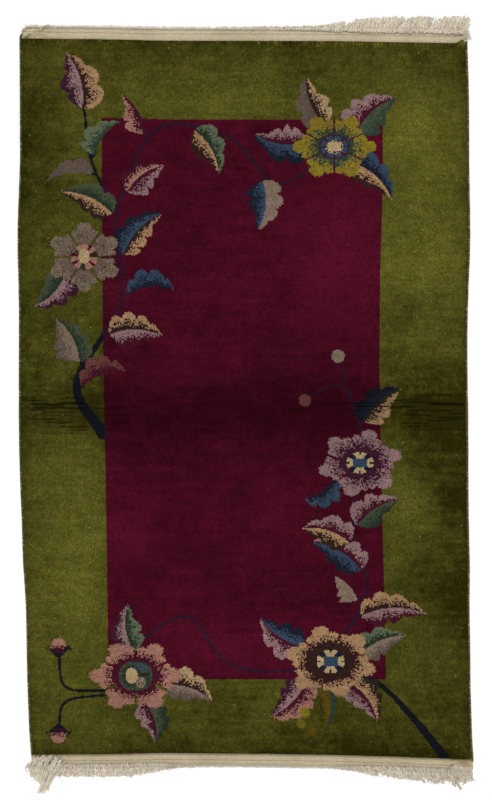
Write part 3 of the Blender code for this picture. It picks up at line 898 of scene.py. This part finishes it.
wool = wool_material()
face_row, face_column = np.indices(knot_shape)
in_field = ((face_row >= field_rows[0]) & (face_row < field_rows[1])
            & (face_column >= field_columns[0]) & (face_column < field_columns[1]))
fold_row = np.argmin(np.abs(row_places - creases[0].along))
last_row, last_column = np.array(knot_shape)
panel_rows = panel_lines(row_places, np.array([0, *field_rows, fold_row, last_row]), 0.07, creases)
panel_columns = panel_lines(column_places, np.array([0, *field_columns, last_column]), 0.06)
for piece_name, part_of_design in (("field", in_field), ("border", ~in_field)):
    for end, half in (("head", face_row >= fold_row), ("foot", face_row < fold_row)):
        piece_mesh = closed_block("pile_" + piece_name + "_" + end, pile_surface, pile_under,
                                  part_of_design & half, knot_colours, panel_rows, panel_columns)
        piece_mesh.set_sharp_from_angle(angle=math.radians(60))
        add_piece(piece_mesh.name, piece_mesh, wool, "wool_pile", "pile_rug")


# --------------------------------------------------------------------------------------------------------
# The back. Knots show on the underside as rows of small bars, in the same design, between cotton wefts.
# It is one cloth from the first row of knots to the last, and everything else is knotted or sewn to it.

back_pitch = 0.0077
back_lines = 0.00035     # depth of the lines between the rows of knots

back_x, back_y, _, back_columns, back_rows, _ = rug_grid(back_pitch)
back_knots = draw_design(faces_of(back_x), faces_of(back_y))
back_shape = (back_x.shape[0] - 1, back_x.shape[1] - 1)
back_colours = linear([yarn_card[name] for name in yarn_names])[back_knots.yarn]
back_colours = back_colours * np.exp(0.12 * np.random.default_rng(21).standard_normal((len(back_colours), 1)))
back_colours = (0.82 * back_colours + 0.05).reshape(*back_shape, 3)
in_line = (np.arange(back_x.shape[0]) % 2)[:, None]
back_under = np.stack([back_x, back_y, lift(back_y) + back_lines * in_line], axis=-1)
back_upper = np.stack([back_x, back_y, lift(back_y) + back_top], axis=-1)
back_panel_rows = panel_lines(back_rows, np.array([0, back_shape[0]]), 0.07, creases)
back_panel_columns = panel_lines(back_columns, np.array([0, back_shape[1]]), 0.06)
back_mesh = closed_block("knotted_back", back_under, back_upper, np.ones(back_shape, dtype=bool),
                         back_colours, back_panel_rows, back_panel_columns, -1)
back_mesh.set_sharp_from_angle(angle=math.radians(50))
back = add_piece("knotted_back", back_mesh, wool, "wool_pile")


# --------------------------------------------------------------------------------------------------------
# The end webs. Past the last knots the weaver goes on in plain cotton for three centimetres, with two
# rows of chained weft as stitched-looking lines. The head's left corner is old, rumpled and frayed.

web_depth = 0.0325
web_thickness = 0.0024
web_rows = 26
web_columns = 435
seam_lines = ((0.0185, 0.0008, 0.95), (0.0272, 0.0007, 0.5))    # place in the depth, half width, darkness


def cotton_material():
    """Unbleached cotton cloth: crossed fine waves for warp and weft, a blotchy tone and a rough face."""
    material, place, spread, bump = fibre_material("web_cotton", 0.9, 0.15, (0.86, 1.10), 0.5, 0.0006)
    nodes, links = material.node_tree.nodes, material.node_tree.links
    weave = nodes.new("ShaderNodeMath")
    weave.operation = "MULTIPLY"
    for socket, (direction, scale, wobble) in enumerate((("X", 110, 1.2), ("Y", 150, 1.5))):
        yarns = nodes.new("ShaderNodeTexWave")
        yarns.bands_direction = direction
        yarns.inputs["Scale"].default_value = scale
        yarns.inputs["Distortion"].default_value = wobble
        links.new(place, yarns.inputs["Vector"])
        links.new(yarns.outputs["Fac"], weave.inputs[socket])
    links.new(weave.outputs["Value"], spread.inputs["Value"])
    links.new(weave.outputs["Value"], bump.inputs["Height"])
    return material


def end_web(end, material):
    """A closed strip of cloth: its plan runs from the knots outwards between the rug's sides, and its top
    dips at the seam lines and ripples with the pull of the warps."""
    outward = 1 if end == "head" else -1
    depth = web_depth * np.linspace(0, 1, web_rows + 1)[:, None]
    share = np.linspace(0, 1, web_columns + 1)[None, :]
    rough = web_lines[end][1].mean() + outward * depth
    left = np.interp(rough, *(inner_lines if end == "head" else outer_lines)["left"])
    right = np.interp(rough, *outer_lines["right"])
    x = left * (1 - share) + right * share
    inner = np.interp(x, *knot_lines[end]) + outward * touching
    outer = np.interp(x, *web_lines[end]) + outward * web_depth
    y = inner + (outer - inner) * depth / web_depth
    for side, sign, column in (("left", -1, 0), ("right", 1, -1)):
        radius = web_radii[end + "_" + side]
        centre = (x[-1, column] - sign * radius, y[-1, column] - outward * radius)
        x, y = rounded_corner(x, y, centre, radius, (sign, outward))
    worn = np.exp(-((x + 0.61) / 0.07) ** 2) if end == "head" else np.exp(-((x - 0.60) / 0.05) ** 2)
    rows_depth = depth + 0.0007 * mottle(x, y, 0.05, 30)
    dip = sum(dark * np.exp(-((rows_depth - place) / width) ** 2) for place, width, dark in seam_lines)
    ripple = 0.0004 * mottle(x, 0 * y + depth, 0.006, 31) + 0.0005 * mottle(x, y, 0.03, 32)
    rumple = np.clip(mottle(x, y, 0.016, 33) + 0.5 * mottle(x, y, 0.007, 38), -0.3, 1)
    z = np.maximum(web_thickness - 0.0008 * dip + ripple + 0.0055 * worn * rumple, 0.0008)
    top = np.stack([x, y, z], axis=-1)
    under = np.stack([x, y, np.zeros_like(x)], axis=-1)
    rng = np.random.default_rng(34)
    face_x, face_y, face_dip, face_worn = (faces_of(value) for value in (x, y, dip, worn))
    tone = 1 - 0.62 * np.clip(face_dip, 0, 1) + 0.08 * rng.standard_normal(face_x.shape)
    tone += 0.06 * mottle(face_x / 3, face_y, 0.002, 35) + 0.09 * mottle(face_x, face_y, 0.05, 36)
    stained = face_worn * np.clip(0.3 + mottle(face_x, 1.6 * face_y, 0.014, 37), 0, 1)
    tone -= 0.40 * stained
    cotton_shade = (188, 175, 147) if end == "head" else (182, 168, 139)
    colours = linear(cotton_shade) * np.clip(tone, 0.2, 1.3)[..., None]
    colours *= 1 - stained[..., None] * (0, 0.10, 0.25)
    by_knots = np.exp(-(faces_of(depth + 0 * x) / 0.0028) ** 2) * (rng.random(face_x.shape) < 0.5)
    colours += by_knots[..., None] * (0.5 * linear((120, 112, 48)) - 0.5 * colours)
    included = np.ones((web_rows, web_columns), dtype=bool)
    if end == "foot":
        top, under, colours = top[::-1], under[::-1], colours[::-1]
    mesh = closed_block("web_" + end, top, under, included, colours, np.array([0, web_rows]),
                        np.arange(0, web_columns + 1, 15))
    mesh.set_sharp_from_angle(angle=math.radians(60))
    return add_piece("web_" + end, mesh, material, "end_web", "end_web_" + end)


cotton = cotton_material()
webs = [end_web(end, cotton) for end in ("head", "foot")]


# --------------------------------------------------------------------------------------------------------
# The side cords. The outermost warps are bundled and overcast with dark wool, turn by turn. Here and
# there the wool has worn through, and the pale warp shows.

turn_pitch = 0.0036      # one turn of the overcasting wool
cord_step = 0.0015
cord_ends = {"left": (-0.957, 1.012), "right": (-0.972, 0.989)}     # the cords pass the last knots
cord_turn = 0.016        # radius of the left cord's bend round the web's corner at the head
cord_around = 8


def overcast_cord(side, material):
    """A tube round the CAD cord's middle line. Its radius swells and shrinks with the turn of the wool: the
    phase is the distance along over the pitch less the angle round, and the swell is the root of its sine."""
    along, low, high = rings[side]
    y = np.arange(*cord_ends[side], cord_step)[:, None]
    middle = np.interp(y, *carried_on(along, (low + high) / 2))
    if side == "left":
        bent = np.clip((y - cord_ends[side][1]) / cord_turn + 1, 0, 1)
        middle = middle + cord_turn * (1 - np.sqrt(1 - bent ** 2)) * 0.7
    radius = float(np.median(high - low)) / 2
    middle = middle + (0.0008 if side == "right" else 0)
    angle = np.linspace(0, 2 * math.pi, cord_around, endpoint=False)[None, :]
    slow = 0.25 * mottle(y, 0 * y, 0.02, 51)
    phase = y / turn_pitch + slow - angle / (2 * math.pi)
    swell = np.sqrt(np.abs(np.sin(math.pi * phase)))
    size = radius * (0.88 + 0.28 * swell) * (1 + 0.06 * mottle(y, 0 * y, 0.03, 52))
    x = middle + size * np.cos(angle)
    z = radius + lift(y) + size * np.sin(angle)
    z = np.maximum(z, lift(y))
    points = np.stack([x, y + 0 * angle, z], axis=-1)
    count = len(y)
    index = np.arange(count * cord_around).reshape(count, cord_around)
    next_round = np.roll(index, -1, axis=1)
    quads = np.stack([index[:-1], index[1:], next_round[1:], next_round[:-1]], axis=-1).reshape(-1, 4)
    caps = [index[0], index[-1][::-1]]
    face_phase = phase[:-1] + 0.5 * cord_step / turn_pitch
    turn = np.floor(face_phase).astype(int) % 997
    rng = np.random.default_rng(53)
    # Each turn of the wool has its own random tone, and painted shade darkens it where the tube narrows
    # between turns
    tone = rng.uniform(0.65, 1.35, 997)[turn] * (0.55 + 0.6 * swell[:-1])
    worn = (rng.random(997) < 0.16)[turn] & (swell[:-1] < 0.8)
    colours = linear((84, 78, 40)) * tone[..., None]
    colours[worn] = linear((160, 150, 112))
    colours = np.concatenate([colours.reshape(-1, 3), np.tile(linear((84, 78, 40)), (2, 1))])
    mesh = make_mesh("overcast_" + side, points.reshape(-1, 3), [quads, caps], colours)
    return add_piece("overcast_" + side, mesh, material, "side_binding", "side_binding_" + side)


cords = [overcast_cord(side, wool) for side in ("left", "right")]


# --------------------------------------------------------------------------------------------------------
# The fringes. The warps run out past the webs as plied cotton ends. They are still long at the head's
# right and along both ends of the foot, and worn down to a short fluff along the rest.

strand_radius = 0.0013
long_steps = 9
short_steps = 4
fluff_count = 900        # loose fibres in each fringe

# Distance across, reach past the web, lean across for each metre of reach, and ends in each metre
head_fringe = np.array([
    (-0.600, 0.0034, 0.00, 350), (-0.300, 0.0046, 0.10, 350), (-0.020, 0.0060, 0.10, 350),
    (0.060, 0.0085, 0.20, 500), (0.130, 0.0100, 0.30, 650), (0.200, 0.0125, 0.35, 900),
    (0.240, 0.0205, 0.35, 1250), (0.300, 0.0340, 0.30, 1400), (0.400, 0.0400, 0.25, 1400),
    (0.520, 0.0430, 0.40, 1400), (0.592, 0.0430, 0.40, 1400),
])
foot_fringe = np.array([
    (-0.580, 0.0300, 0.10, 1100), (-0.500, 0.0330, -0.10, 1100), (-0.440, 0.0310, 0.10, 1100),
    (-0.320, 0.0320, 0.20, 1100), (-0.270, 0.0240, 0.30, 1000), (-0.200, 0.0110, 0.30, 700),
    (-0.120, 0.0040, 0.20, 350), (0.220, 0.0035, 0.20, 350), (0.290, 0.0110, 0.40, 800),
    (0.345, 0.0250, 0.40, 1100), (0.450, 0.0330, 0.30, 1100), (0.490, 0.0430, 0.20, 1100),
    (0.540, 0.0340, 0.10, 1100), (0.606, 0.0300, 0.05, 1100),
])
fringe_gaps = {"head": (0.262, 0.410, 0.490), "foot": (-0.530, 0.345, 0.470)}


def tubes(paths, radii, sides):
    """Closed tubes along many paths at once, all lying nearly flat: round each point of a path, a ring in the
    plane of the upright and of the level direction square to the path. Returns points, sides and caps."""
    count, steps = paths.shape[:2]
    way = np.gradient(paths, axis=1)
    level = np.stack([-way[..., 1], way[..., 0]], axis=-1)
    level /= np.maximum(np.hypot(level[..., :1], level[..., 1:]), 1e-9)
    angle = np.linspace(0, 2 * math.pi, sides, endpoint=False)
    ring = np.zeros((count, steps, sides, 3))
    ring[..., :2] = level[:, :, None] * np.cos(angle)[:, None]
    ring[..., 2] = np.sin(angle)
    points = paths[:, :, None] + ring * radii[..., None, None]
    index = np.arange(count * steps * sides).reshape(count, steps, sides)
    around_next = np.roll(index, -1, axis=2)
    quads = np.stack([index[:, :-1], index[:, 1:], around_next[:, 1:], around_next[:, :-1]], axis=-1)
    quads = quads[..., ::-1]
    caps = np.concatenate([index[:, 0], index[:, -1, ::-1]])
    return points.reshape(-1, 3), quads.reshape(-1, 4), caps


def strand_paths(root_x, root_y, reach, lean, crinkle, height, outward, steps, rng):
    """Paths of loose ends from the web outwards. Each starts on the cloth a few millimetres inside its edge,
    leans, crinkles in two and a half waves, and lies on the strands under it at its own height."""
    count = len(root_x)
    share = np.linspace(0, 1, steps)[None, :]
    wave = 0.0013 * np.sin(crinkle[:, None] + 14 * share) * np.minimum(reach[:, None] / 0.02, 1)
    bend = rng.normal(0, 0.10, count)[:, None] * reach[:, None] * share ** 2
    start = rng.uniform(0.001, 0.008, count)[:, None] * np.minimum(reach[:, None] / 0.02, 1) + 0.0004
    past = (reach[:, None] + start) * share - start
    x = root_x[:, None] + lean[:, None] * (past + start) + wave + bend
    y = root_y[:, None] + outward * past
    on_web = (web_thickness + 0.0006) * np.clip(1 - past / 0.006, 0, 1)
    layer = height[:, None] * np.sin(math.pi * np.clip(0.2 + 0.8 * share, 0, 1)) ** 0.6
    return np.stack([x, y, on_web + layer + strand_radius * 0.8], axis=-1)


def tufts(across, gaps, rng):
    """How much of its reach each end keeps, its change of lean and its crinkle. Ends lean away from a wide
    gap on their left and grow longer with the distance from it. Small locks of ends differ a little."""
    gaps = np.array([-1, *gaps, 1])
    past_gap = across - gaps[np.searchsorted(gaps, across) - 1]
    kept = 0.30 + 0.70 * np.clip(past_gap / 0.034, 0, 1) ** 0.8
    locks = -1 + np.cumsum(rng.uniform(0.005, 0.012, 260))
    lock = np.searchsorted(locks, across)
    offset = (across - locks[lock - 1]) / (locks[lock] - locks[lock - 1]) * 2 - 1
    kept = kept * rng.uniform(0.90, 1.06, 261)[lock] * (1 - 0.10 * offset ** 2)
    lean = 0.22 * np.exp(-past_gap / 0.02) + rng.normal(0, 0.045, 261)[lock] - 0.12 * offset
    return kept, lean, rng.uniform(0, 2 * math.pi, 261)[lock]


# Thick cords over the corners, in centimetres: start, bend and tip, how many and how far apart
Cords = namedtuple("Cords", "start bend tip count apart")
corner_cords = {
    "foot": [
        Cords((-57.0, -96.8), (-60.4, -98.2), (-58.2, -100.7), 14, 0.42),
        Cords((-56.0, -96.4), (-59.6, -98.8), (-57.4, -101.2), 14, 0.55),
        Cords((-54.6, -96.0), (-57.6, -99.2), (-56.6, -102.2), 14, 0.60),
        Cords((-53.2, -95.9), (-55.6, -99.4), (-55.6, -103.8), 14, 0.50),
        Cords((-51.6, -96.8), (-54.4, -99.2), (-55.6, -105.6), 14, 0.45),
        Cords((-50.2, -98.0), (-53.0, -100.0), (-54.4, -104.9), 12, 0.45),
        Cords((-51.6, -96.2), (-52.8, -99.0), (-54.0, -101.8), 12, 0.45),
        Cords((-50.6, -97.0), (-51.2, -99.0), (-52.6, -100.6), 12, 0.42),
        Cords((56.4, -99.0), (60.4, -99.0), (61.2, -100.8), 12, 0.55),
        Cords((55.8, -99.6), (60.8, -99.6), (61.2, -102.0), 13, 0.50),
        Cords((56.8, -100.0), (61.0, -101.0), (59.8, -102.8), 12, 0.50),
        Cords((55.0, -100.4), (57.2, -102.0), (56.4, -103.6), 12, 0.50),
        Cords((57.2, -102.6), (57.9, -103.6), (58.7, -104.9), 4, 0.14),
    ],
    "head": [
        Cords((56.6, 101.4), (59.8, 101.4), (60.9, 99.6), 6, 0.35),
        Cords((57.8, 102.2), (60.4, 102.2), (60.5, 100.8), 7, 0.35),
        Cords((57.0, 101.0), (59.4, 101.6), (60.6, 103.6), 9, 0.40),
        Cords((-56.2, 101.8), (-54.6, 104.4), (-51.4, 102.0), 2, 0.12),
    ],
}


def corner_ropes(end, rng):
    """The thick cords of one end: each is a parabola from its start, over its bend, to its tip, and sways."""
    groups = corner_cords[end]
    count = [group.count for group in groups]
    apart = np.repeat([group.apart for group in groups], count)[:, None]
    marks = []
    for place in ("start", "bend", "tip"):
        centres = np.repeat([getattr(group, place) for group in groups], count, axis=0)
        marks.append((centres + apart * rng.standard_normal(centres.shape)) / 100)
    start, bend, tip = (mark[:, None] for mark in marks)
    share = np.linspace(0, 1, 13)[None, :, None]
    plan = start * (1 - share) ** 2 + 2 * bend * share * (1 - share) + tip * share ** 2
    share = share[..., 0]
    sway = 0.0011 * np.sin(rng.uniform(0, 6, (len(apart), 1)) + 20 * share)
    height = rng.uniform(0.001, 0.005, (len(apart), 1)) * np.sin(math.pi * np.clip(0.35 + 0.65 * share, 0, 1))
    outward = 1 if end == "head" else -1
    edge = np.interp(plan[..., 0], *web_lines[end]) + outward * web_depth
    on_web = web_thickness * np.clip(outward * (edge - plan[..., 1]) / 0.004, 0, 1)
    return np.concatenate([plan + sway[..., None], (height + 0.0018 + on_web)[..., None]], axis=-1)


def soiled(across, outward):
    """How light the ends are: all alike at the head, and at the foot darker towards the right corner."""
    return 1 - 0.10 * np.clip((across - 0.43) / 0.10, 0, 1) * (outward < 0)


def fringe(end, table, material, seed):
    """All loose ends of one fringe, as tubes in one mesh: plied ends in tufts, the thick cords that lie over
    the corners, and loose fibres."""
    outward = 1 if end == "head" else -1
    rng = np.random.default_rng(seed)
    fine = np.linspace(table[0, 0], table[-1, 0], 4000)
    ends_so_far = np.cumsum(np.interp(fine, table[:, 0], table[:, 3])) * (fine[1] - fine[0])
    across = np.interp(np.arange(ends_so_far[0], ends_so_far[-1]), ends_so_far, fine)
    across = across + rng.uniform(-0.0006, 0.0006, len(across))
    kept, lean_change, crinkle = tufts(across, fringe_gaps[end], rng)
    edge = np.interp(across, *web_lines[end]) + outward * web_depth
    reach = np.interp(across, table[:, 0], table[:, 1])
    reach = reach * kept ** (1 + 4 * np.clip(1 - reach / 0.014, 0, 1)) * rng.uniform(0.80, 1.04, len(across))
    lean = np.interp(across, table[:, 0], table[:, 2]) + lean_change + rng.normal(0, 0.15, len(across))
    height = rng.uniform(0.0002, 0.0030, len(across)) * np.minimum(reach / 0.012, 1)
    tone = rng.uniform(0.76, 1.14, len(across)) * soiled(across, outward)
    groups = []
    for chosen, steps, sides in ((reach < 0.012, short_steps, 4), (reach >= 0.012, long_steps, 5)):
        waves = crinkle[chosen] + rng.normal(0, 0.4, chosen.sum())
        paths = strand_paths(across[chosen], edge[chosen], reach[chosen], lean[chosen], waves,
                             height[chosen], outward, steps, rng)
        radii = strand_radius * rng.uniform(0.8, 1.15, chosen.sum())[:, None] * np.ones(steps)
        radii[:, -1] *= 0.5
        groups.append((paths, radii, sides, tone[chosen], 0.10))
    ropes = corner_ropes(end, rng)
    rope_radii = 0.0015 * rng.uniform(0.8, 1.15, len(ropes))[:, None] * np.linspace(1, 0.7, ropes.shape[1])
    rope_tones = rng.uniform(0.68, 1.12, len(ropes)) * soiled(ropes[:, 0, 0], outward)
    groups.append((ropes, rope_radii, 6, rope_tones, 0.14))
    fluff_x = rng.uniform(table[0, 0], table[-1, 0], fluff_count)
    full = np.interp(fluff_x, table[:, 0], table[:, 1])
    start = rng.uniform(0, 1, fluff_count) ** 0.6 * np.maximum(full * 0.92 - 0.003, 0)
    fluff_edge = np.interp(fluff_x, *web_lines[end]) + outward * (web_depth + start)
    fluff_x = fluff_x + np.interp(fluff_x, table[:, 0], table[:, 2]) * start
    still = np.zeros(fluff_count)
    fluff = strand_paths(fluff_x, fluff_edge, rng.uniform(0.003, 0.008, fluff_count),
                         rng.normal(0, 0.8, fluff_count), still, still + 0.001, outward, 4, rng)
    groups.append((fluff, np.full((fluff_count, 4), 0.00042), 3, np.full(fluff_count, 1.08), 0.0))
    points, faces, tones = [], [], []
    for group_paths, group_radii, sides, tone, ply in groups:
        tube_points, quads, caps = tubes(group_paths, group_radii, sides)
        offset = sum(len(earlier) for earlier in points)
        steps = group_paths.shape[1] - 1
        # Painted highlight and shade along the twist of the plies: each tube is striped lighter and darker
        # round and along it, by the ply amount
        twist = np.sin(np.arange(steps)[:, None] * 2.1 + np.arange(sides) * 2 * math.pi / sides)
        tips = np.linspace(0.88, 1.10, steps)[:, None]
        tones.append((tone[:, None, None] * tips * (1 + ply * twist)).ravel())
        tones.append(np.full(len(caps), 0.9))
        points.append(tube_points)
        faces += [quads + offset, caps + offset]
    points = np.concatenate(points)
    points[:, 2] = np.maximum(points[:, 2], 0.0001)
    colours = linear((208, 197, 177)) * np.concatenate(tones)[:, None]
    mesh = make_mesh("loose_ends_" + end, points, faces, colours)
    return add_piece("loose_ends_" + end, mesh, material, "fringe", "fringe_" + end)


def plied_material():
    """Plied cotton: the strand's own tone, fine ply grain and a rough face."""
    material, place, spread, bump = fibre_material("plied_cotton", 0.9, 0.15, (0.8, 1.15), 0.4, 0.0005)
    nodes, links = material.node_tree.nodes, material.node_tree.links
    ply = nodes.new("ShaderNodeTexNoise")
    ply.inputs["Scale"].default_value = 1200
    links.new(place, ply.inputs["Vector"])
    links.new(ply.outputs["Fac"], spread.inputs["Value"])
    links.new(ply.outputs["Fac"], bump.inputs["Height"])
    return material


plied = plied_material()
fringes = [fringe("head", head_fringe, plied, 61), fringe("foot", foot_fringe, plied, 62)]


# --------------------------------------------------------------------------------------------------------
# The studio: a plain white floor, an even sky, a wide soft lamp from the head end, and a camera looking
# straight down through a long lens.

view_height = 2.176
view_centre = 0.011
camera_height = 6.0
sensor = 36.0

floor_mesh = bpy.data.meshes.new("floor")
floor_reach = 9
floor_level = -0.0004
floor_signs = ((-1, -1), (1, -1), (1, 1), (-1, 1))
floor_corners = [(floor_reach * across, floor_reach * along, floor_level) for across, along in floor_signs]
floor_mesh.from_pydata(floor_corners, [], [(0, 1, 2, 3)])
floor = bpy.data.objects.new("floor", floor_mesh)
bpy.context.scene.collection.objects.link(floor)
floor_paint = bpy.data.materials.new("floor_paint")
floor_paint.use_nodes = True
floor_shader = floor_paint.node_tree.nodes["Principled BSDF"]
floor_shader.inputs["Base Color"].default_value = (0.95, 0.95, 0.95, 1)
floor_shader.inputs["Roughness"].default_value = 1.0
floor_shader.inputs["Specular IOR Level"].default_value = 0.0
floor_mesh.materials.append(floor_paint)

world = bpy.data.worlds.new("sky")
world.use_nodes = True
world.node_tree.nodes["Background"].inputs["Color"].default_value = (1, 1, 1, 1)
world.node_tree.nodes["Background"].inputs["Strength"].default_value = 0.85
bpy.context.scene.world = world

lamp_data = bpy.data.lights.new("window", "SUN")
lamp_data.energy = 1.5
lamp_data.angle = math.radians(14)
lamp = bpy.data.objects.new("window", lamp_data)
lamp.rotation_euler = (math.radians(-38), math.radians(-14), 0)
bpy.context.scene.collection.objects.link(lamp)

camera_data = bpy.data.cameras.new("camera")
camera_data.sensor_width = sensor
camera_data.lens = sensor * (camera_height - pile_top) / view_height
camera = bpy.data.objects.new("camera", camera_data)
camera.location = (0, view_centre, camera_height)
bpy.context.scene.collection.objects.link(camera)
bpy.context.scene.camera = camera
bpy.context.scene.view_settings.view_transform = "Standard"
